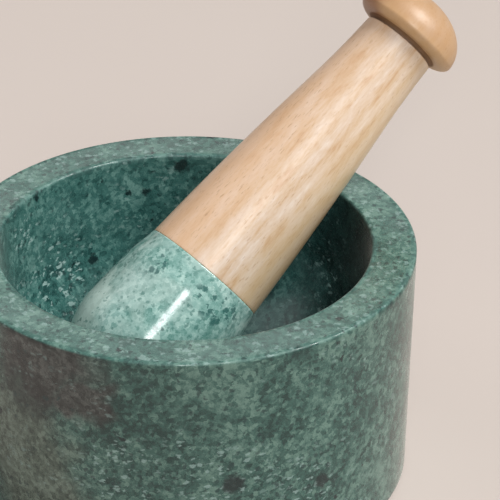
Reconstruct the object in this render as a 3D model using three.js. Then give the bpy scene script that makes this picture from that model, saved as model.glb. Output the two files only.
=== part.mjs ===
import * as THREE from 'three';

// A turned green-marble mortar with its two-part pestle leaning in it.
// Millimetres, +Z up. The origin is the centre of the felt pad's underside, on the mortar's axis.

// Mortar: a nearly straight cylinder, hollowed to a round-bottomed bowl.
const RIM_RADIUS = 70;
const BASE_RADIUS = 68.6;
const STONE_HEIGHT = 75;
const MOUTH_RADIUS = 56.4;
const CAVITY_DEPTH = 59.6;
const WALL_DEPTH = 22;
const WALL_RADIUS = 54.5;
const OUTER_EDGE_ROUND = 0.9;
const MOUTH_EDGE_ROUND = 1.0;
const BASE_EDGE_ROUND = 1.0;

// Felt pad, stuck in a shallow recess turned in the base.
const PAD_THICKNESS = 2.5;
const PAD_PROTRUSION = 1.0;
const RECESS_DEPTH = PAD_THICKNESS - PAD_PROTRUSION;
const RECESS_RADIUS = 58;

// Pestle, measured along its own axis from the seam between stone and wood.
// The tapers are lists of [radius, place along the axis].
const SEAM_RADIUS = 20;
const HEAD_MAX_RADIUS = 23;
const HEAD_WIDEST_AT = -28;
const HEAD_END_AT = -53.2;
const HEAD_TAPER = [[22, -11.5], [20.95, -4.8]];
const GRIP_TAPER = [[18.6, 21], [16.15, 49], [13.2, 77]];
const SHAFT_TOP_AT = 93.4;
const SHAFT_TOP_RADIUS = 12.2;
const NECK_AT = 94.2;
const NECK_RADIUS = 8.5;
const KNOB_UNDERSIDE_AT = 95;
const KNOB_UNDERSIDE_RADIUS = 12.8;
const KNOB_RADIUS = 17.4;
const KNOB_WIDEST_AT = 97.6;
const KNOB_TOP_AT = 110.2;
const EDGE_ROUND = 0.4;

// Steel stud glued in the stone and screwed into the wood.
const STUD_RADIUS = 4;
const STUD_ROOT_RADIUS = 3.4;
const STUD_REACH = 22;
const STUD_CHAMFER = 0.8;
const THREAD_PITCH = 2;
const GLUE_THICKNESS = 1.2;

// Clearance left between neighbouring solids.
const GAP = 0.3;

// How the pestle leans: heading in plan, slope above the horizontal, and its seam below the rim.
const LEAN_HEADING = THREE.MathUtils.degToRad(33.7);
const LEAN_SLOPE = THREE.MathUtils.degToRad(38.3);
const SEAM_X = 5.8;
const SEAM_Y = 8.7;
const SEAM_BELOW_RIM = 15.8;

// Segments round each turned piece, and steps along the curved parts of the outlines.
const STONE_SEGMENTS = 72;
const PESTLE_SEGMENTS = 48;
const STUD_SEGMENTS = 24;
const EDGE_STEPS = 4;
const BOWL_STEPS = 18;
const HEAD_END_STEPS = 14;
const HEAD_TAPER_STEPS = 9;
const GRIP_STEPS = 16;
const KNOB_STEPS = 12;

const point = (radius, height) => new THREE.Vector2(radius, height);
const points = (pairs) => pairs.map(([radius, height]) => point(radius, height));

// Points on part of an ellipse in the (radius, height) plane, angles in degrees from +radius.
function arc(centreRadius, centreHeight, radialReach, axialReach, fromAngle, toAngle, steps) {
  const spots = [];
  for (let step = 0; step <= steps; step += 1) {
    const angle = THREE.MathUtils.degToRad(fromAngle + ((toAngle - fromAngle) * step) / steps);
    spots.push(point(
      centreRadius + radialReach * Math.cos(angle),
      centreHeight + axialReach * Math.sin(angle),
    ));
  }
  return spots;
}

// One piece turned about its own +Z axis, from an outline that runs bottom to top on the outside.
function turned(name, outline, segments, material) {
  const geometry = new THREE.LatheGeometry(outline, segments).rotateX(Math.PI / 2);
  const mesh = new THREE.Mesh(geometry, new THREE.MeshStandardMaterial(material));
  mesh.name = name;
  return mesh;
}

const GREEN_MARBLE = { color: 0x4c6b61, roughness: 0.42, metalness: 0 };
const POLISHED_MARBLE = { color: 0x7fa79b, roughness: 0.22, metalness: 0 };
const PALE_WOOD = { color: 0xd0aa80, roughness: 0.48, metalness: 0 };
const STEEL = { color: 0xa9abad, roughness: 0.35, metalness: 1 };
const EPOXY = { color: 0xcdbf98, roughness: 0.3, metalness: 0 };
const FELT = { color: 0x3a3d39, roughness: 0.95, metalness: 0 };

function mortarBowl() {
  const bottom = PAD_PROTRUSION;
  const rim = bottom + STONE_HEIGHT;
  const ceiling = bottom + RECESS_DEPTH;
  const foot = BASE_EDGE_ROUND;
  const edge = OUTER_EDGE_ROUND;
  const mouth = MOUTH_EDGE_ROUND;
  const outline = [
    point(0, ceiling),
    point(RECESS_RADIUS, ceiling),
    point(RECESS_RADIUS, bottom),
    ...arc(BASE_RADIUS - foot, bottom + foot, foot, foot, -90, 0, EDGE_STEPS),
    ...arc(RIM_RADIUS - edge, rim - edge, edge, edge, 0, 90, EDGE_STEPS),
    ...arc(MOUTH_RADIUS + mouth, rim - mouth, mouth, mouth, 90, 180, EDGE_STEPS),
    ...arc(0, rim - WALL_DEPTH, WALL_RADIUS, CAVITY_DEPTH - WALL_DEPTH, 0, -90, BOWL_STEPS),
  ];
  return turned('mortar_bowl', outline, STONE_SEGMENTS, GREEN_MARBLE);
}

function basePad() {
  const radius = RECESS_RADIUS - GAP;
  const outline = [
    point(0, 0),
    point(radius, 0),
    point(radius, PAD_THICKNESS),
    point(0, PAD_THICKNESS),
  ];
  return turned('base_pad', outline, STONE_SEGMENTS, FELT);
}

// The stone head: round working end, fullest below the middle, with a blind bore for the stud.
function pestleHead() {
  const face = -GAP / 2;
  const boreRadius = STUD_RADIUS + GLUE_THICKNESS + GAP;
  const taper = new THREE.SplineCurve([
    point(HEAD_MAX_RADIUS, HEAD_WIDEST_AT),
    ...points(HEAD_TAPER),
    point(SEAM_RADIUS + EDGE_ROUND, face - EDGE_ROUND),
  ]);
  const endReach = HEAD_WIDEST_AT - HEAD_END_AT;
  const outline = [
    ...arc(0, HEAD_WIDEST_AT, HEAD_MAX_RADIUS, endReach, -90, 0, HEAD_END_STEPS),
    ...taper.getPoints(HEAD_TAPER_STEPS).slice(1),
    point(SEAM_RADIUS, face),
    point(boreRadius, face),
    point(boreRadius, -STUD_REACH - 2 * GAP),
    point(0, -STUD_REACH - 2 * GAP),
  ];
  return turned('pestle_head', outline, PESTLE_SEGMENTS, POLISHED_MARBLE);
}

// The wooden handle: one turning, from the tapered grip through a V-groove to the ball knob.
function pestleHandle() {
  const face = GAP / 2;
  const pilotRadius = STUD_RADIUS + GAP;
  const grip = new THREE.SplineCurve([
    point(SEAM_RADIUS, face + EDGE_ROUND),
    ...points(GRIP_TAPER),
    point(SHAFT_TOP_RADIUS, SHAFT_TOP_AT),
  ]);
  const shoulderReach = SHAFT_TOP_RADIUS - NECK_RADIUS;
  const shoulderHeight = NECK_AT - SHAFT_TOP_AT;
  const bulge = KNOB_RADIUS - KNOB_UNDERSIDE_RADIUS;
  const bulgeHeight = KNOB_WIDEST_AT - KNOB_UNDERSIDE_AT;
  const crown = KNOB_TOP_AT - KNOB_WIDEST_AT;
  const outline = [
    point(0, STUD_REACH + 2 * GAP),
    point(pilotRadius, STUD_REACH + 2 * GAP),
    point(pilotRadius, face),
    point(SEAM_RADIUS - EDGE_ROUND, face),
    ...grip.getPoints(GRIP_STEPS),
    ...arc(NECK_RADIUS, SHAFT_TOP_AT, shoulderReach, shoulderHeight, 0, 90, EDGE_STEPS).slice(1),
    ...arc(KNOB_UNDERSIDE_RADIUS, KNOB_WIDEST_AT, bulge, bulgeHeight, -90, 0, KNOB_STEPS / 2),
    ...arc(0, KNOB_WIDEST_AT, KNOB_RADIUS, crown, 0, 90, KNOB_STEPS).slice(1),
  ];
  return turned('pestle_handle', outline, PESTLE_SEGMENTS, PALE_WOOD);
}

// The stud's thread is drawn as one ridge per pitch.
function jointStud() {
  const ridges = [];
  for (let height = THREAD_PITCH - STUD_REACH; height < STUD_REACH; height += THREAD_PITCH) {
    ridges.push(point(STUD_RADIUS, height - THREAD_PITCH / 2));
    ridges.push(point(STUD_ROOT_RADIUS, height));
  }
  const outline = [
    point(0, -STUD_REACH),
    point(STUD_ROOT_RADIUS - STUD_CHAMFER, -STUD_REACH),
    ...ridges.slice(0, -1),
    point(STUD_RADIUS, STUD_REACH - THREAD_PITCH / 2),
    point(STUD_ROOT_RADIUS - STUD_CHAMFER, STUD_REACH),
    point(0, STUD_REACH),
  ];
  return turned('joint_stud', outline, STUD_SEGMENTS, STEEL);
}

// The set glue between the stud and the stone's bore.
function epoxySleeve() {
  const inner = STUD_RADIUS + GAP;
  const outer = STUD_RADIUS + GLUE_THICKNESS;
  const top = -GAP / 2;
  const outline = [
    point(inner, -STUD_REACH),
    point(outer, -STUD_REACH),
    point(outer, top),
    point(inner, top),
    point(inner, -STUD_REACH),
  ];
  return turned('epoxy_sleeve', outline, STUD_SEGMENTS, EPOXY);
}

function pestle() {
  const group = new THREE.Group();
  group.add(pestleHead(), pestleHandle(), jointStud(), epoxySleeve());
  const axis = new THREE.Vector3(
    Math.cos(LEAN_SLOPE) * Math.cos(LEAN_HEADING),
    Math.cos(LEAN_SLOPE) * Math.sin(LEAN_HEADING),
    Math.sin(LEAN_SLOPE),
  );
  group.quaternion.setFromUnitVectors(new THREE.Vector3(0, 0, 1), axis);
  group.position.set(SEAM_X, SEAM_Y, PAD_PROTRUSION + STONE_HEIGHT - SEAM_BELOW_RIM);
  return group;
}

const mortarAndPestle = new THREE.Group();
mortarAndPestle.add(mortarBowl(), basePad(), pestle());

export default mortarAndPestle;
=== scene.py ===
import math

import bmesh
import bpy
from mathutils import Matrix, Vector


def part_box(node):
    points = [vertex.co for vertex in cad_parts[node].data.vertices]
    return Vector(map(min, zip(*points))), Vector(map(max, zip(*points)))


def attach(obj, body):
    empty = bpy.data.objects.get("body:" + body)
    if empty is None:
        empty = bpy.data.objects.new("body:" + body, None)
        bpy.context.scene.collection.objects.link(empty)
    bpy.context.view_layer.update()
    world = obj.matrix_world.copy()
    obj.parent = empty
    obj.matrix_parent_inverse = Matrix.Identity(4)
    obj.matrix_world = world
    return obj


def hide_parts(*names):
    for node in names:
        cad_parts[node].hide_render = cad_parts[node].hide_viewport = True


# Green marble mortar with its pestle leaning in it. Metres, +Z up, the CAD model's frame.

MM = 0.001

# A point of an outline nearer the axis than this lies on it.
ON_AXIS = 0.0001 * MM

# Camera and framing.
CAMERA_DISTANCE = 840 * MM
CAMERA_ELEVATION = math.radians(29.44)
CAMERA_ROLL = math.radians(0.52)
CAMERA_PAN = math.radians(1.341)
CAMERA_TILT = math.radians(0.185)
CAMERA_LENS_MM = 200.3
CAMERA_SENSOR_MM = 36

# Mortar.
WALL_DEPTH = 22 * MM
WALL_RADIUS = 54.5 * MM
MOUTH_RADIUS = 56.4 * MM
CAVITY_DEPTH = 59.6 * MM
BASE_RADIUS = 68.6 * MM
OUTER_EDGE_ROUND = 0.9 * MM
MOUTH_EDGE_ROUND = 1.0 * MM
BASE_EDGE_ROUND = 1.0 * MM
RECESS_RADIUS = 58 * MM
RECESS_DEPTH = 1.5 * MM
PAD_EDGE_ROUND = 0.5 * MM

# Pestle, measured along its axis from the seam between stone and wood. The knob is 0.03 mm smaller
# than the CAD model's, so that its finer facets stay inside that model's box.
SEAM_RADIUS = 20 * MM
HEAD_MAX_RADIUS = 23 * MM
HEAD_WIDEST_AT = -28 * MM
HEAD_END_AT = -53.2 * MM
HEAD_TAPER = [(22 * MM, -11.5 * MM), (20.95 * MM, -4.8 * MM)]
GRIP_TAPER = [(18.6 * MM, 21 * MM), (16.15 * MM, 49 * MM), (13.2 * MM, 77 * MM)]
SHAFT_TOP_AT = 93.4 * MM
SHAFT_TOP_RADIUS = 12.2 * MM
NECK_AT = 94.2 * MM
NECK_RADIUS = 8.5 * MM
KNOB_UNDERSIDE_AT = 95 * MM
KNOB_UNDERSIDE_RADIUS = 12.8 * MM
KNOB_RADIUS = 17.37 * MM
KNOB_WIDEST_AT = 97.6 * MM
KNOB_TOP_AT = 110.17 * MM
SEAM_EDGE_ROUND = 0.15 * MM
STONE_PROUD_AT_SEAM = 0.1 * MM
GLUE_LINE = 0.08 * MM

# Marks in the stone, with the brown patches a painted reflection of the shaded floor and the bowl's dark
# patch painted shade: azimuth in degrees, then distance off the axis, height and reach in millimetres.
BROWN_PAINTED_REFLECTION = [(-128, 68, 71, 25), (-114, 69, 59, 11)]
OLIVE_STAINS = [(-135, 69, 36, 27), (-128, 69, 16, 25)]
BOWL_PAINTED_SHADE = [(15, 54, 58, 38)]
FLECK_CLUSTERS = [
    (141, 51, 44, 17),
    (152, 55, 66, 10),
    (-108, 69, 38, 17),
    (-84, 69, 38, 20),
    (-60, 69, 30, 15),
    (32, 69, 46, 18),
    (88, 69, 30, 16),
    (162, 69, 42, 17),
]
BLACK_BLOTCHES = [
    (145, 55.6, 74, 1.8),
    (124, 53, 45, 2.6),
    (103, 55, 64, 2.0),
    (109, 55, 64.5, 1.2),
    (91, 56, 72, 2.8),
    (-79, 69, 34, 4.2),
    (-55, 69, 27, 3.4),
]

# The stone's dark, middle and light colours: its own, and those of the olive stain, of the brown painted
# reflection and of the painted shade in the bowl.
GREEN = [(0.010, 0.048, 0.045), (0.038, 0.122, 0.110), (0.120, 0.245, 0.220)]
OLIVE = [(0.031, 0.051, 0.040), (0.073, 0.104, 0.082), (0.140, 0.190, 0.155)]
REFLECTED_BROWN = [(0.016, 0.019, 0.018), (0.034, 0.039, 0.036), (0.082, 0.090, 0.083)]
PAINTED_SHADE_GREEN = [(0.002, 0.009, 0.008), (0.006, 0.022, 0.020), (0.020, 0.055, 0.048)]
PALE_GREEN = [(0.095, 0.235, 0.205), (0.215, 0.385, 0.35), (0.37, 0.55, 0.505)]

# Marks in the head's stone, along the pestle's own axis, and a patch of painted light on the head's flank
# that faces away from the lights.
HEAD_CLUSTERS = [(-85, 21.5, -7.5, 7), (-66, 21, -6, 8), (-138, 22, -9, 6), (-100, 22.5, -22, 5)]
HEAD_BLOTCHES = [(-68, 22, -11, 1.8)]
HEAD_PAINTED_LIGHT = [(177, 22, -31, 19)]

# Painted shade on the knob's side that faces away from the light, along the same axis.
KNOB_PAINTED_SHADE = [(182, 15, 98, 12)]

# Studio: the floor, and the sky's colours, each from a height of the unit direction vector.
FLOOR_HALF_SIZE = 4000 * MM
FLOOR_SEGMENTS = 24
SKY = [
    (0.00, (0.47, 0.415, 0.38)),
    (0.07, (0.66, 0.58, 0.53)),
    (0.16, (0.28, 0.25, 0.23)),
    (0.30, (0.25, 0.223, 0.205)),
    (0.50, (0.02, 0.02, 0.019)),
]

# The key light: the way to it, how wide its disc is, its power and its colour.
KEY_DIRECTION = (0.58, -0.06, 0.81)
KEY_SPREAD = math.radians(32)
KEY_POWER = 3.3
KEY_COLOUR = (1, 0.985, 0.96)

# Softboxes: name, position, the point it faces, width, height, turn in degrees, power and colour.
SOFTBOXES = [
    ("front_strip", (0.13, -1.21, 0.93), (0.02, 0, 0.06), 0.25, 0.85, -40, 11, (1, 1, 1)),
    ("back_window", (0.3, 1.7, 1.15), (0, 0, 0.06), 1.6, 0.7, 0, 4.3, (1, 0.98, 0.95)),
    ("left_fill", (-1.1, 0.3, 1.2), (0, 0, 0.06), 1.0, 1.0, 0, 3.2, (1, 1, 1)),
    ("top_fill", (0.3, -0.3, 1.6), (0, 0, 0.06), 1.2, 1.2, 0, 3.6, (1, 1, 1)),
]

# Segments round each turned piece, and steps along the long stretches of the outlines.
STONE_SEGMENTS = 320
PESTLE_SEGMENTS = 192
PAD_SEGMENTS = 160
WALL_STEPS = 40
BOWL_STEPS = 44
HEAD_END_STEPS = 48
HEAD_TAPER_STEPS = 8
GRIP_STEPS = 14
KNOB_STEPS = 26


# ---------------------------------------------------------------- outlines and meshes

def arc(centre_radius, centre_height, radial_reach, axial_reach, from_angle, to_angle, steps):
    """Points (radius, height) on part of an ellipse, angles in degrees from +radius."""
    points = []
    for step in range(steps + 1):
        angle = math.radians(from_angle + (to_angle - from_angle) * step / steps)
        radius = centre_radius + radial_reach * math.cos(angle)
        height = centre_height + axial_reach * math.sin(angle)
        points.append((radius, height))
    return points


def line(start, end, steps):
    """Points from just after start up to end, close enough together to keep smooth shading flat."""
    points = []
    for step in range(1, steps + 1):
        share = step / steps
        radius = start[0] + (end[0] - start[0]) * share
        height = start[1] + (end[1] - start[1]) * share
        points.append((radius, height))
    return points


def curve(knots, steps):
    """A smooth Catmull-Rom line through the knots, steps points to each span."""
    padded = [knots[0]] + list(knots) + [knots[-1]]
    points = [knots[0]]
    for index in range(1, len(padded) - 2):
        span = padded[index - 1:index + 3]
        for step in range(1, steps + 1):
            share = step / steps
            point = []
            for before, start, end, after in zip(*span):
                slope = (end - before) * share
                bend = (2 * before - 5 * start + 4 * end - after) * share ** 2
                twist = (3 * start - before - 3 * end + after) * share ** 3
                point.append(start + 0.5 * (slope + bend + twist))
            points.append(tuple(point))
    return points


def add_object(name, data):
    """Puts a mesh, light or camera into the scene."""
    item = bpy.data.objects.new(name, data)
    bpy.context.scene.collection.objects.link(item)
    return item


def turned(name, outline, segments, place=Matrix()):
    """A solid of revolution about its own Z axis, moved to its place."""
    mesh = bmesh.new()
    rings = []
    for radius, height in outline:
        if radius < ON_AXIS:
            rings.append([mesh.verts.new((0, 0, height))])
            continue
        ring = []
        for segment in range(segments):
            angle = 2 * math.pi * segment / segments
            ring.append(mesh.verts.new((radius * math.cos(angle), radius * math.sin(angle), height)))
        rings.append(ring)
    for lower, upper in zip(rings, rings[1:]):
        for segment in range(segments):
            following = (segment + 1) % segments
            if len(lower) == 1:
                mesh.faces.new((lower[0], upper[following], upper[segment]))
            elif len(upper) == 1:
                mesh.faces.new((lower[segment], lower[following], upper[0]))
            else:
                mesh.faces.new((lower[segment], lower[following], upper[following], upper[segment]))
    data = bpy.data.meshes.new(name)
    mesh.to_mesh(data)
    mesh.free()
    data.transform(place)
    data.shade_smooth()
    return add_object(name, data)


# ---------------------------------------------------------------- material building

def set_stops(ramp, stops):
    """Gives a colour ramp its (position, colour) stops."""
    elements = ramp.color_ramp.elements
    while len(elements) < len(stops):
        elements.new(1)
    for element, (position, colour) in zip(elements, stops):
        element.position = position
        element.color = (*colour, 1)


class Paint:
    """One procedural material: a Principled shader and the nodes that feed it.

    Its textures lie along the given axes, those of the turned piece it is for.
    """

    def __init__(self, name, axes=Matrix()):
        self.material = bpy.data.materials.new(name)
        self.material.use_nodes = True
        self.tree = self.material.node_tree
        self.tree.nodes.clear()
        output = self.tree.nodes.new("ShaderNodeOutputMaterial")
        self.shader = self.tree.nodes.new("ShaderNodeBsdfPrincipled")
        self.tree.links.new(self.shader.outputs["BSDF"], output.inputs["Surface"])
        object_place = self.tree.nodes.new("ShaderNodeTexCoord").outputs["Object"]
        node = self.tree.nodes.new("ShaderNodeMapping")
        node.vector_type = "TEXTURE"
        self.feed(node.inputs["Vector"], object_place)
        self.feed(node.inputs["Location"], axes.to_translation())
        self.feed(node.inputs["Rotation"], axes.to_euler())
        self.place = node.outputs["Vector"]

    def feed(self, socket, value):
        """Sets a socket to a plain value, or links it to another node's output."""
        if isinstance(value, bpy.types.NodeSocket):
            self.tree.links.new(value, socket)
        elif isinstance(value, (tuple, list)) and len(value) == 3 and socket.type == "RGBA":
            socket.default_value = (*value, 1)
        else:
            socket.default_value = value

    def surface(self, **sockets):
        """Feeds the shader's sockets, named as Blender names them with _ for a space."""
        for name, value in sockets.items():
            self.feed(self.shader.inputs[name.replace("_", " ")], value)

    def moved(self, scale=(1, 1, 1), offset=(0, 0, 0), turn=(0, 0, 0)):
        """The place with its axes scaled, turned and shifted."""
        node = self.tree.nodes.new("ShaderNodeMapping")
        self.feed(node.inputs["Vector"], self.place)
        self.feed(node.inputs["Scale"], scale)
        self.feed(node.inputs["Location"], offset)
        self.feed(node.inputs["Rotation"], turn)
        return node.outputs["Vector"]

    def coordinate(self, axis):
        """The place's X, Y or Z."""
        node = self.tree.nodes.new("ShaderNodeSeparateXYZ")
        self.feed(node.inputs["Vector"], self.place)
        return node.outputs[axis]

    def off_axis(self):
        """The distance off the turned piece's axis."""
        return self.vector("LENGTH", self.moved(scale=(1, 1, 0)), (0, 0, 0))

    def cloud(self, size, place=None, detail=4, roughness=0.55, twist=0.0):
        """Soft noise, 0 to 1, with features about size across."""
        node = self.tree.nodes.new("ShaderNodeTexNoise")
        self.feed(node.inputs["Vector"], place or self.place)
        self.feed(node.inputs["Scale"], 1 / size)
        self.feed(node.inputs["Detail"], detail)
        self.feed(node.inputs["Roughness"], roughness)
        self.feed(node.inputs["Distortion"], twist)
        return node.outputs["Fac"]

    def vector(self, operation, first, second):
        """A sum on two vectors, as a vector, or as a number if it is a length or a distance."""
        node = self.tree.nodes.new("ShaderNodeVectorMath")
        node.operation = operation
        self.feed(node.inputs[0], first)
        self.feed(node.inputs[1], second)
        return node.outputs["Value" if operation in ("LENGTH", "DISTANCE") else "Vector"]

    def stirred(self, size, amount, place=None):
        """The place pushed about by up to half the amount, in swirls of the given size."""
        node = self.tree.nodes.new("ShaderNodeTexNoise")
        self.feed(node.inputs["Vector"], place or self.place)
        self.feed(node.inputs["Scale"], 1 / size)
        push = self.vector("SUBTRACT", node.outputs["Color"], (0.5, 0.5, 0.5))
        push = self.vector("MULTIPLY", push, (amount, amount, amount))
        return self.vector("ADD", place or self.place, push)

    def cells(self, size, place):
        """Cells about size across: the way off the cell's middle, in cells, and its random colour."""
        node = self.tree.nodes.new("ShaderNodeTexVoronoi")
        self.feed(node.inputs["Vector"], place)
        self.feed(node.inputs["Scale"], 1 / size)
        split = self.tree.nodes.new("ShaderNodeSeparateColor")
        self.feed(split.inputs["Color"], node.outputs["Color"])
        return node.outputs["Distance"], split.outputs

    def specks(self, spacing, share, largest, place):
        """Scattered specks, 1 inside: a share of the cells have one, up to largest in radius."""
        distance, chance = self.cells(spacing, place)
        distance = self.figure("MULTIPLY", distance, spacing)
        edge = 0.25 * largest
        radius = self.step(chance["Red"], 1 - share, 1, -edge, largest)
        return self.step(self.figure("SUBTRACT", distance, radius), -edge, edge, 1, 0)

    def patches(self, marks, place):
        """1 near each mark, fading to 0 at its reach."""
        total = 0.0
        for azimuth, off_axis, height, reach in marks:
            angle = math.radians(azimuth)
            centre = Vector((off_axis * math.cos(angle), off_axis * math.sin(angle), height)) * MM
            away = self.vector("DISTANCE", place, centre)
            mark = self.step(away, 0.5 * reach * MM, reach * MM, 1, 0)
            total = self.figure("MAXIMUM", mark, total)
        return total

    def figure(self, operation, first, second=0.0):
        """A sum on one or two numbers."""
        node = self.tree.nodes.new("ShaderNodeMath")
        node.operation = operation
        self.feed(node.inputs[0], first)
        self.feed(node.inputs[1], second)
        return node.outputs["Value"]

    def step(self, value, low, high, start=0.0, end=1.0):
        """Start below low, end above high, and a smooth change between them."""
        node = self.tree.nodes.new("ShaderNodeMapRange")
        node.interpolation_type = "SMOOTHSTEP"
        self.feed(node.inputs["Value"], value)
        self.feed(node.inputs["From Min"], low)
        self.feed(node.inputs["From Max"], high)
        self.feed(node.inputs["To Min"], start)
        self.feed(node.inputs["To Max"], end)
        return node.outputs["Result"]

    def shades(self, value, stops):
        """Colours along a value, from (position, colour) stops."""
        node = self.tree.nodes.new("ShaderNodeValToRGB")
        set_stops(node, stops)
        self.feed(node.inputs["Fac"], value)
        return node.outputs["Color"]

    def blend(self, amount, first, second, mode="MIX"):
        """First where amount is 0, second where it is 1."""
        node = self.tree.nodes.new("ShaderNodeMix")
        node.data_type = "RGBA"
        node.blend_type = mode
        self.feed(node.inputs["Factor"], amount)
        colours = [socket for socket in node.inputs if socket.type == "RGBA"]
        self.feed(colours[0], first)
        self.feed(colours[1], second)
        return [socket for socket in node.outputs if socket.type == "RGBA"][0]

    def relief(self, height, depth, strength):
        """Feeds the shader a bump depth metres deep."""
        node = self.tree.nodes.new("ShaderNodeBump")
        self.feed(node.inputs["Height"], height)
        self.feed(node.inputs["Distance"], depth)
        self.feed(node.inputs["Strength"], strength)
        self.feed(self.shader.inputs["Normal"], node.outputs["Normal"])


# ---------------------------------------------------------------- materials

def add_specks(paint, colour, specks, amount, tint):
    """The colour, with the tint over it as far as the amount where the specks are."""
    return paint.blend(paint.figure("MULTIPLY", specks, amount), colour, tint)


def stone_tone(paint, contrast):
    """The stone's figure, about 0.5: soft clouds, millimetres of mottling and a fine grain."""
    clouds = paint.figure("MULTIPLY", paint.cloud(24 * MM, detail=3, twist=0.6), 0.30)
    mottle = paint.figure("MULTIPLY", paint.cloud(4.6 * MM, detail=5, roughness=0.6, twist=0.5), 0.42)
    _, crystal_colour = paint.cells(1.3 * MM, paint.stirred(1.1 * MM, 1.8 * MM))
    crystals = paint.figure("MULTIPLY", crystal_colour["Green"], 0.15)
    dust = paint.figure("MULTIPLY", paint.cloud(0.5 * MM, detail=2), 0.13)
    tone = paint.figure("ADD", paint.figure("ADD", clouds, mottle), paint.figure("ADD", crystals, dust))
    away = paint.figure("MULTIPLY", paint.figure("SUBTRACT", tone, 0.5), contrast)
    return paint.figure("ADD", away, 0.5)


def stone_colours(paint, tone, colours):
    """The stone's colour for its tone, from its dark, middle and light colours."""
    dark, middle, light = colours
    return paint.shades(tone, [(0.3, dark), (0.5, middle), (0.7, light)])


def edge_wear(paint, off_axis, height, edge_radius, edge_height):
    """1 along a turned edge where its polish has worn matt, in patches."""
    outwards = paint.figure("ABSOLUTE", paint.figure("SUBTRACT", off_axis, edge_radius))
    upwards = paint.figure("ABSOLUTE", paint.figure("SUBTRACT", height, edge_height))
    near = paint.step(paint.figure("ADD", outwards, upwards), 2.2 * MM, 1.2 * MM)
    return paint.figure("MULTIPLY", near, paint.step(paint.cloud(6 * MM, detail=4), 0.36, 0.5))


def stained_stone(paint, outside, rim, loose):
    """The mortar's colour: drier and browner outside, with olive stain marks, a brown painted reflection
    on the wall's front and painted shade in the bowl.
    """
    tone = stone_tone(paint, paint.step(outside, 0, 1, 1.4, 1.95))
    colour = stone_colours(paint, tone, GREEN)
    colour = paint.blend(outside, colour, (0.88, 0.80, 0.74), "MULTIPLY")
    colour = add_specks(paint, colour, rim, 0.14, (0.13, 0.30, 0.26))
    below_rim = paint.figure("SUBTRACT", 1, rim)
    inside = paint.figure("SUBTRACT", 1, outside)
    # Olive stains, then a brown painted reflection of the shaded floor on the wall's front, then painted
    # shade darkening the bowl's right inner wall.
    for stain_and_painted_light_marks, tints, where in (
        (OLIVE_STAINS, OLIVE, below_rim),
        (BROWN_PAINTED_REFLECTION, REFLECTED_BROWN, below_rim),
        (BOWL_PAINTED_SHADE, PAINTED_SHADE_GREEN, inside),
    ):
        stain_and_painted_light_mask = paint.figure("MULTIPLY", paint.patches(stain_and_painted_light_marks, loose), where)
        colour = paint.blend(stain_and_painted_light_mask, colour, stone_colours(paint, tone, tints))
    return colour


def flecked_stone(paint, colour, outside, rim, loose):
    """The colour with pale flecks and dark dots over it, thickest in the clusters and on the rim."""
    drifts = paint.cloud(12 * MM, detail=4, roughness=0.6)
    clusters = paint.patches(FLECK_CLUSTERS, loose)
    dashes = paint.stirred(1.8 * MM, 3.6 * MM, paint.moved(scale=(1, 1, 1.7)))
    crowd = paint.figure("MAXIMUM", paint.step(drifts, 0.48, 0.62, 0, 0.55), clusters)
    crowd = paint.figure("MAXIMUM", crowd, paint.figure("MULTIPLY", rim, 0.7))
    flecks = paint.figure("MULTIPLY", paint.specks(2.0 * MM, 0.65, 1.05 * MM, dashes), crowd)
    colour = add_specks(paint, colour, flecks, paint.step(outside, 0, 1, 0.8, 0.6), (0.26, 0.385, 0.365))

    elsewhere = paint.stirred(1.3 * MM, 2.4 * MM, paint.moved(offset=(0.5, 0, 0)))
    crowd = paint.figure("MAXIMUM", paint.step(drifts, 0.52, 0.42, 0.15, 1), clusters)
    crowd = paint.figure("MAXIMUM", crowd, rim)
    dots = paint.figure("MULTIPLY", paint.specks(1.9 * MM, 0.6, 0.85 * MM, elsewhere), crowd)
    return add_specks(paint, colour, dots, 0.75, (0.008, 0.032, 0.032))


def honed_marble():
    """The mortar: dark green serpentine marble, with its stain marks, flecks and black spots, and painted
    reflection and painted shade in its colour.
    """
    paint = Paint("green_marble_honed")
    height = paint.coordinate("Z")
    off_axis = paint.off_axis()
    rim_radius, rim_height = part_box("mortar_bowl")[1].xz
    outside = paint.step(off_axis, MOUTH_RADIUS - 0.4 * MM, MOUTH_RADIUS + 1.6 * MM)
    rim = paint.step(height, rim_height - 0.8 * MM, rim_height - 0.2 * MM)
    rim = paint.figure("MULTIPLY", outside, rim)
    loose = paint.stirred(14 * MM, 22 * MM)
    ragged = paint.stirred(1.9 * MM, 3.6 * MM)

    colour = stained_stone(paint, outside, rim, loose)
    colour = flecked_stone(paint, colour, outside, rim, loose)
    spots = paint.specks(9 * MM, 0.45, 1.3 * MM, ragged)
    spots = paint.figure("MAXIMUM", spots, paint.patches(BLACK_BLOTCHES, ragged))
    colour = add_specks(paint, colour, spots, 0.92, (0.003, 0.014, 0.015))

    grit = paint.cloud(0.6 * MM, detail=3, roughness=0.6)
    wear = paint.cloud(18 * MM, detail=4)
    shine = paint.step(paint.figure("ADD", grit, wear), 0.7, 1.3, 0.20, 0.36)
    outer_wear = edge_wear(paint, off_axis, height, rim_radius, rim_height)
    mouth_wear = edge_wear(paint, off_axis, height, MOUTH_RADIUS, rim_height)
    worn = paint.figure("MAXIMUM", outer_wear, mouth_wear)
    shine = paint.figure("ADD", shine, paint.figure("MULTIPLY", worn, 0.35))
    paint.surface(Base_Color=colour, Roughness=shine, IOR=1.55)
    paint.surface(Sheen_Weight=0.17, Sheen_Roughness=0.3, Sheen_Tint=(1, 0.93, 0.84))
    pits = paint.figure("SUBTRACT", grit, paint.figure("MULTIPLY", spots, 0.6))
    paint.relief(pits, 0.04 * MM, 0.45)
    return paint.material


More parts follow.
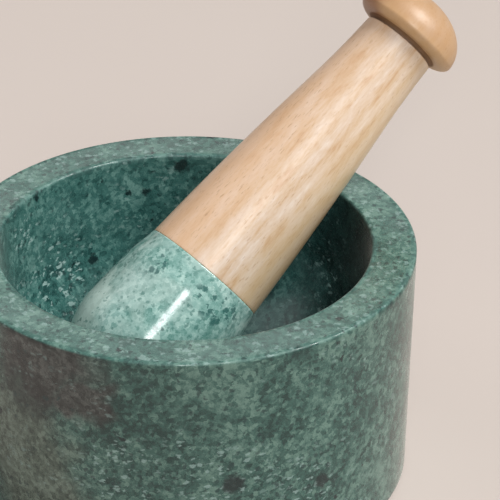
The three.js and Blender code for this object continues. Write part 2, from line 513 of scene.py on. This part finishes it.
def polished_marble(axes):
    """The pestle's head: a paler cut of the same stone, polished, with clusters of dark specks."""
    paint = Paint("green_marble_polished", axes)
    colour = stone_colours(paint, stone_tone(paint, 1.8), PALE_GREEN)

    pale = paint.cloud(16 * MM, paint.moved(offset=(0.3, 0.2, 0)), detail=5, twist=1.0)
    colour = add_specks(paint, colour, paint.step(pale, 0.46, 0.68), 0.4, (0.50, 0.63, 0.59))

    ragged = paint.stirred(1.2 * MM, 2.0 * MM)
    loose = paint.stirred(5 * MM, 7 * MM)
    # Painted light: a pale patch brightens the head's shaded flank.
    colour = add_specks(paint, colour, paint.patches(HEAD_PAINTED_LIGHT, loose), 0.6, (0.62, 0.74, 0.68))
    drifts = paint.cloud(11 * MM, detail=3)
    specks = paint.specks(1.3 * MM, 0.75, 0.65 * MM, paint.stirred(0.9 * MM, 1.5 * MM))
    specks = paint.figure("MULTIPLY", specks, paint.step(drifts, 0.36, 0.56, 0.3, 1))
    colour = add_specks(paint, colour, specks, 0.65, (0.06, 0.17, 0.15))
    dark = paint.specks(1.9 * MM, 0.85, 1.15 * MM, ragged)
    dark = paint.figure("MULTIPLY", dark, paint.patches(HEAD_CLUSTERS, loose))
    blotches = paint.figure("MAXIMUM", dark, paint.patches(HEAD_BLOTCHES, ragged))
    colour = add_specks(paint, colour, blotches, 0.8, (0.022, 0.095, 0.088))

    grit = paint.cloud(0.6 * MM, detail=3, roughness=0.6)
    wear = paint.cloud(14 * MM, detail=4)
    shine = paint.step(paint.figure("ADD", grit, wear), 0.7, 1.3, 0.11, 0.19)
    paint.surface(Base_Color=colour, Roughness=shine, IOR=1.55)
    paint.relief(grit, 0.008 * MM, 0.35)
    return paint.material


def wood_tone(paint, fibres):
    """The wood's figure: faint rings about a line outside the piece, soft streaks and fine fibres."""
    wander = paint.cloud(60 * MM, paint.moved(scale=(1, 1, 0.35)), detail=3)
    from_heart = paint.moved(scale=(1, 1, 0.05), offset=(62 * MM, 21 * MM, 0))
    turns = paint.figure("DIVIDE", paint.vector("LENGTH", from_heart, (0, 0, 0)), 5.2 * MM)
    phase = paint.figure("ADD", turns, paint.figure("MULTIPLY", wander, 3.0))
    rings = paint.figure("PINGPONG", phase, 0.5)
    clouds = paint.cloud(7 * MM, paint.moved(scale=(1, 1, 0.45)), detail=4, roughness=0.6, twist=0.5)
    streaks = paint.cloud(3 * MM, paint.moved(scale=(1, 1, 0.2)), detail=4, roughness=0.65, twist=0.3)
    tone = 0.0
    for part, weight in ((rings, 0.24), (clouds, 0.34), (streaks, 0.22), (fibres, 0.30)):
        tone = paint.figure("ADD", paint.figure("MULTIPLY", part, weight), tone)
    return tone


def wood_pores(paint):
    """Short open pores along the axis, thicker in some places."""
    pores = paint.step(paint.cloud(0.55 * MM, paint.moved(scale=(1, 1, 0.2)), detail=2), 0.58, 0.72)
    crowd = paint.cloud(8 * MM, paint.moved(scale=(1, 1, 0.4)), detail=3)
    return paint.figure("MULTIPLY", pores, paint.step(crowd, 0.36, 0.58, 0.35, 1))


def knob_groove_shade(paint, height):
    """1 in the groove under the knob and on the knob's inner lip, where shade is painted into the colour.
    """
    above_shaft = paint.step(height, SHAFT_TOP_AT - 0.1 * MM, SHAFT_TOP_AT + 0.3 * MM)
    below_knob = paint.step(height, KNOB_UNDERSIDE_AT + 2 * MM, KNOB_UNDERSIDE_AT + 1 * MM)
    lip = KNOB_UNDERSIDE_RADIUS
    within_lip = paint.step(paint.off_axis(), lip + 0.4 * MM, lip - 0.4 * MM)
    return paint.figure("MULTIPLY", paint.figure("MULTIPLY", above_shaft, below_knob), within_lip)


def turned_wood(axes):
    """Pale waxed hardwood, its knob browner from handling, with painted shade under and on one side of
    the knob and a painted-light tint on one side of the handle.
    """
    paint = Paint("pale_turned_wood", axes)
    height = paint.coordinate("Z")
    across = paint.coordinate("X")
    fibres = paint.cloud(0.7 * MM, paint.moved(scale=(1, 1, 0.16)), detail=3, roughness=0.6)
    pores = wood_pores(paint)
    groove = knob_groove_shade(paint, height)
    knob = paint.step(height, NECK_AT, KNOB_UNDERSIDE_AT, 0, 0.75)

    colour = paint.shades(wood_tone(paint, fibres), [
        (0.36, (0.50, 0.32, 0.19)),
        (0.46, (0.58, 0.43, 0.30)),
        (0.56, (0.63, 0.505, 0.405)),
        (0.66, (0.69, 0.595, 0.52)),
    ])
    # Partly the wood's peach tone and partly painted light: the side towards -X is tinted a brighter
    # orange, standing in for fill light on that side; the side towards +X is tinted golden.
    colour = paint.blend(paint.step(across, 0, -17 * MM, 0, 0.6), colour, (0.71, 0.44, 0.26))
    colour = paint.blend(paint.step(across, 0, 16 * MM, 0, 0.5), colour, (0.60, 0.45, 0.23))
    colour = add_specks(paint, colour, pores, 0.5, (0.36, 0.20, 0.10))

    crown = paint.step(height, KNOB_UNDERSIDE_AT, KNOB_UNDERSIDE_AT + 5 * MM)
    knob_brown = paint.blend(crown, (0.53, 0.31, 0.13), (0.40, 0.22, 0.095))
    colour = paint.blend(knob, colour, knob_brown)
    # Painted shade: darker brown on the knob's shaded side.
    colour = add_specks(paint, colour, paint.patches(KNOB_PAINTED_SHADE, paint.place), knob, (0.24, 0.085, 0.03))
    # Painted shade: the groove under the knob is darkened as if in shadow.
    colour = add_specks(paint, colour, groove, 0.75, (0.15, 0.06, 0.015))

    shine = paint.step(paint.figure("ADD", fibres, pores), 0.3, 1.3, 0.30, 0.46)
    matt = paint.figure("MULTIPLY", groove, 0.4)
    matt = paint.figure("ADD", matt, paint.figure("MULTIPLY", knob, 0.12))
    paint.surface(Base_Color=colour, Roughness=paint.figure("ADD", shine, matt), IOR=1.6)
    depth = paint.figure("SUBTRACT", paint.figure("MULTIPLY", fibres, 0.5), pores)
    paint.relief(depth, 0.05 * MM, 0.5)
    return paint.material


def felt():
    """Pressed wool: matted fibres, a soft sheen and a few lighter hairs."""
    paint = Paint("base_felt")
    mat = paint.cloud(1.1 * MM, detail=6, roughness=0.75, twist=1.5)
    hairs = paint.cloud(0.5 * MM, paint.moved(scale=(1, 0.2, 1), turn=(0, 0, 0.6)), detail=3, twist=2.0)
    colour = paint.shades(mat, [
        (0.3, (0.012, 0.02, 0.016)),
        (0.6, (0.035, 0.05, 0.042)),
        (0.8, (0.07, 0.09, 0.08)),
    ])
    colour = paint.blend(paint.step(hairs, 0.62, 0.7, 0, 0.4), colour, (0.13, 0.15, 0.135))
    paint.surface(Base_Color=colour, Roughness=0.95)
    paint.surface(Sheen_Weight=0.35, Sheen_Roughness=0.6)
    paint.relief(paint.figure("ADD", mat, hairs), 0.25 * MM, 0.8)
    return paint.material


def zinc_steel():
    """Zinc-plated thread, with the plating's faint clouds."""
    paint = Paint("zinc_plated_steel")
    clouds = paint.cloud(2.5 * MM, detail=5, roughness=0.6)
    colour = paint.shades(clouds, [(0.3, (0.45, 0.46, 0.47)), (0.7, (0.66, 0.67, 0.66))])
    paint.surface(Base_Color=colour, Metallic=1.0, Roughness=paint.step(clouds, 0.3, 0.7, 0.28, 0.42))
    paint.relief(paint.cloud(0.3 * MM), 0.02 * MM, 0.4)
    return paint.material


def resin():
    """Set epoxy glue, amber with paler filler."""
    paint = Paint("set_epoxy")
    filler = paint.cloud(0.8 * MM, detail=5, roughness=0.65)
    colour = paint.shades(filler, [(0.35, (0.30, 0.22, 0.11)), (0.65, (0.52, 0.43, 0.26))])
    paint.surface(Base_Color=colour, Roughness=paint.step(filler, 0.3, 0.7, 0.25, 0.45), IOR=1.55)
    paint.relief(filler, 0.05 * MM, 0.5)
    return paint.material


def studio_floor():
    """Plain pale warm paper."""
    paint = Paint("studio_paper")
    tint = paint.shades(paint.cloud(400 * MM, detail=3), [
        (0.3, (0.498, 0.439, 0.407)),
        (0.7, (0.516, 0.456, 0.422)),
    ])
    paint.surface(Base_Color=tint, Roughness=0.85)
    return paint.material


# ---------------------------------------------------------------- pieces

def finish(piece, body, material, nodes=()):
    """Gives a piece its material and body, and hides the CAD nodes that it stands for."""
    piece.data.materials.clear()
    piece.data.materials.append(material)
    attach(piece, body)
    if nodes:
        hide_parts(*nodes)


def build_mortar(stone):
    low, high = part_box("mortar_bowl")
    rim_radius = high.x
    bottom = low.z
    rim = high.z
    ceiling = bottom + RECESS_DEPTH
    foot = BASE_EDGE_ROUND
    wall_foot = (BASE_RADIUS, bottom + foot)
    wall_head = (rim_radius, rim - OUTER_EDGE_ROUND)
    rim_outer = (rim_radius - OUTER_EDGE_ROUND, rim)
    rim_inner = (MOUTH_RADIUS + MOUTH_EDGE_ROUND, rim)
    wall_top = (MOUTH_RADIUS, rim - MOUTH_EDGE_ROUND)
    wall_low = (WALL_RADIUS, rim - WALL_DEPTH)
    outline = [(0, ceiling)]
    outline += line((0, ceiling), (RECESS_RADIUS, ceiling), 6)
    outline += line((RECESS_RADIUS, ceiling), (RECESS_RADIUS, bottom), 2)
    outline += arc(BASE_RADIUS - foot, bottom + foot, foot, foot, -90, 0, 6)
    outline += line(wall_foot, wall_head, WALL_STEPS)
    outline += arc(rim_outer[0], wall_head[1], OUTER_EDGE_ROUND, OUTER_EDGE_ROUND, 0, 90, 8)[1:]
    outline += line(rim_outer, rim_inner, 10)
    outline += arc(rim_inner[0], wall_top[1], MOUTH_EDGE_ROUND, MOUTH_EDGE_ROUND, 90, 180, 6)[1:]
    outline += line(wall_top, wall_low, 12)
    outline += arc(0, wall_low[1], WALL_RADIUS, CAVITY_DEPTH - WALL_DEPTH, 0, -90, BOWL_STEPS)[1:]
    piece = turned("mortar_stone", outline, STONE_SEGMENTS)
    finish(piece, "mortar", stone, ["mortar_bowl"])


def build_pad(material):
    low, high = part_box("base_pad")
    soft = PAD_EDGE_ROUND
    outline = [(0, low.z)]
    outline += line((0, low.z), (high.x - soft, low.z), 24)
    outline += arc(high.x - soft, low.z + soft, soft, soft, -90, 0, 4)[1:]
    outline += arc(high.x - soft, high.z - soft, soft, soft, 0, 90, 4)
    outline += line((high.x - soft, high.z), (0, high.z), 6)
    piece = turned("felt_pad", outline, PAD_SEGMENTS)
    finish(piece, "mortar", material, ["base_pad"])


def middle_of(node):
    """The middle of a turned node's points, which lies on its axis."""
    points = [vertex.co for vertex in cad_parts[node].data.vertices]
    return sum(points, Vector()) / len(points)


def pestle_place():
    """Where the pestle's own axes lie: origin on the seam, +Z towards the knob."""
    low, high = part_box("joint_stud")
    axis = (middle_of("pestle_handle") - middle_of("pestle_head")).normalized()
    turn = Vector((0, 0, 1)).rotation_difference(axis).to_matrix().to_4x4()
    return Matrix.Translation((low + high) / 2) @ turn


def build_head(place, stone):
    face = -GLUE_LINE / 2
    edge = SEAM_EDGE_ROUND
    reach = HEAD_WIDEST_AT - HEAD_END_AT
    outline = arc(0, HEAD_WIDEST_AT, HEAD_MAX_RADIUS, reach, -90, 0, HEAD_END_STEPS)
    outline += curve([
        (HEAD_MAX_RADIUS, HEAD_WIDEST_AT),
        *HEAD_TAPER,
        (SEAM_RADIUS + STONE_PROUD_AT_SEAM, face - edge),
    ], HEAD_TAPER_STEPS)[1:]
    outline += arc(SEAM_RADIUS - edge, face - edge, edge, edge, 20, 90, 4)
    outline += line((SEAM_RADIUS - edge, face), (0, face), 4)
    piece = turned("marble_head", outline, PESTLE_SEGMENTS, place)
    finish(piece, "pestle", stone, ["pestle_head"])


def build_handle(place, wood):
    face = GLUE_LINE / 2
    edge = SEAM_EDGE_ROUND
    outline = [(0, face)]
    outline += line((0, face), (SEAM_RADIUS - edge, face), 4)
    outline += arc(SEAM_RADIUS - edge, face + edge, edge, edge, -90, 0, 4)[1:]
    outline += curve([
        (SEAM_RADIUS, face + edge),
        *GRIP_TAPER,
        (SHAFT_TOP_RADIUS, SHAFT_TOP_AT),
    ], GRIP_STEPS)[1:]
    shoulder = SHAFT_TOP_RADIUS - NECK_RADIUS
    outline += arc(NECK_RADIUS, SHAFT_TOP_AT, shoulder, NECK_AT - SHAFT_TOP_AT, 0, 90, 10)[1:]
    bulge = KNOB_RADIUS - KNOB_UNDERSIDE_RADIUS
    bulge_height = KNOB_WIDEST_AT - KNOB_UNDERSIDE_AT
    outline += arc(KNOB_UNDERSIDE_RADIUS, KNOB_WIDEST_AT, bulge, bulge_height, -90, 0, 14)
    outline += arc(0, KNOB_WIDEST_AT, KNOB_RADIUS, KNOB_TOP_AT - KNOB_WIDEST_AT, 0, 90, KNOB_STEPS)[1:]
    piece = turned("wooden_handle", outline, PESTLE_SEGMENTS, place)
    finish(piece, "pestle", wood, ["pestle_handle"])


def build_glue_line(place, material):
    """The film of glue that shows as a fine line at the seam."""
    reach = SEAM_RADIUS - SEAM_EDGE_ROUND / 2
    half = GLUE_LINE / 2
    outline = [(0, -half)]
    outline += line((0, -half), (reach, -half), 3)
    outline += line((reach, -half), (reach, half), 1)
    outline += line((reach, half), (0, half), 3)
    piece = turned("glue_line", outline, PESTLE_SEGMENTS, place)
    finish(piece, "pestle", material)


def paint_hidden_nodes(steel, glue):
    for node, material in (("joint_stud", steel), ("epoxy_sleeve", glue)):
        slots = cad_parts[node].data.materials
        slots.clear()
        slots.append(material)


# ---------------------------------------------------------------- studio

def build_floor():
    data = bpy.data.meshes.new("floor")
    mesh = bmesh.new()
    segments = FLOOR_SEGMENTS
    bmesh.ops.create_grid(mesh, x_segments=segments, y_segments=segments, size=FLOOR_HALF_SIZE)
    mesh.to_mesh(data)
    mesh.free()
    data.materials.append(studio_floor())
    floor = add_object("floor", data)


def softbox(name, position, target, width, height, turn, power, colour):
    """A rectangular light that faces its target, turned about the line between them."""
    light = bpy.data.lights.new(name, "AREA")
    light.shape = "RECTANGLE"
    light.size = width
    light.size_y = height
    light.energy = power
    light.color = colour
    lamp = add_object(name, light)
    lamp.location = position
    lamp.rotation_euler = (Vector(target) - Vector(position)).to_track_quat("-Z", "Y").to_euler()
    lamp.rotation_euler.rotate_axis("Z", math.radians(turn))


def key_light():
    """A far light with a disc wide enough for soft shadows."""
    light = bpy.data.lights.new("key", "SUN")
    light.angle = KEY_SPREAD
    light.energy = KEY_POWER
    light.color = KEY_COLOUR
    lamp = add_object("key", light)
    lamp.rotation_euler = Vector(KEY_DIRECTION).to_track_quat("Z", "Y").to_euler()


def build_world():
    """The horizon as pale as the floor, dimmer walls over it and a dark ceiling."""
    world = bpy.data.worlds.new("studio")
    world.use_nodes = True
    nodes = world.node_tree.nodes
    links = world.node_tree.links
    direction = nodes.new("ShaderNodeTexCoord")
    split = nodes.new("ShaderNodeSeparateXYZ")
    shades = nodes.new("ShaderNodeValToRGB")
    set_stops(shades, SKY)
    links.new(direction.outputs["Generated"], split.inputs["Vector"])
    links.new(split.outputs["Z"], shades.inputs["Fac"])
    links.new(shades.outputs["Color"], nodes["Background"].inputs["Color"])
    bpy.context.scene.world = world


def light_studio():
    build_world()
    key_light()
    for setting in SOFTBOXES:
        softbox(*setting)


def build_camera():
    """Looks along +Y and down at the rim's centre, then turns to set the mortar off centre."""
    rim_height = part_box("mortar_bowl")[1].z
    right = Vector((1, 0, 0))
    up = Vector((0, math.sin(CAMERA_ELEVATION), math.cos(CAMERA_ELEVATION)))
    back = right.cross(up)
    straight = Matrix((right, up, back)).transposed().to_4x4()
    straight.translation = Vector((0, 0, rim_height)) + back * CAMERA_DISTANCE
    pan = Matrix.Rotation(-CAMERA_PAN, 4, "Y")
    tilt = Matrix.Rotation(-CAMERA_TILT, 4, "X")
    roll = Matrix.Rotation(-CAMERA_ROLL, 4, "Z")
    data = bpy.data.cameras.new("camera")
    data.sensor_width = CAMERA_SENSOR_MM
    data.lens = CAMERA_LENS_MM
    camera = add_object("camera", data)
    camera.matrix_world = straight @ pan @ tilt @ roll
    bpy.context.scene.camera = camera


# ---------------------------------------------------------------- scene

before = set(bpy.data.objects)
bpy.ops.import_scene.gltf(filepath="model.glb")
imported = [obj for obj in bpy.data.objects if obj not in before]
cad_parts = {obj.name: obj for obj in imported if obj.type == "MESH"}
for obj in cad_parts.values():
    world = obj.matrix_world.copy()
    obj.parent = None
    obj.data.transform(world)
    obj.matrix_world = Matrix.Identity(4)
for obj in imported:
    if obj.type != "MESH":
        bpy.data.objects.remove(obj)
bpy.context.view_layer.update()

build_camera()
build_floor()
light_studio()
bpy.context.scene.view_settings.view_transform = "Standard"

amber_glue = resin()
pestle_at = pestle_place()

build_mortar(honed_marble())
build_pad(felt())
build_head(pestle_at, polished_marble(pestle_at))
build_handle(pestle_at, turned_wood(pestle_at))
build_glue_line(pestle_at, amber_glue)
paint_hidden_nodes(zinc_steel(), amber_glue)
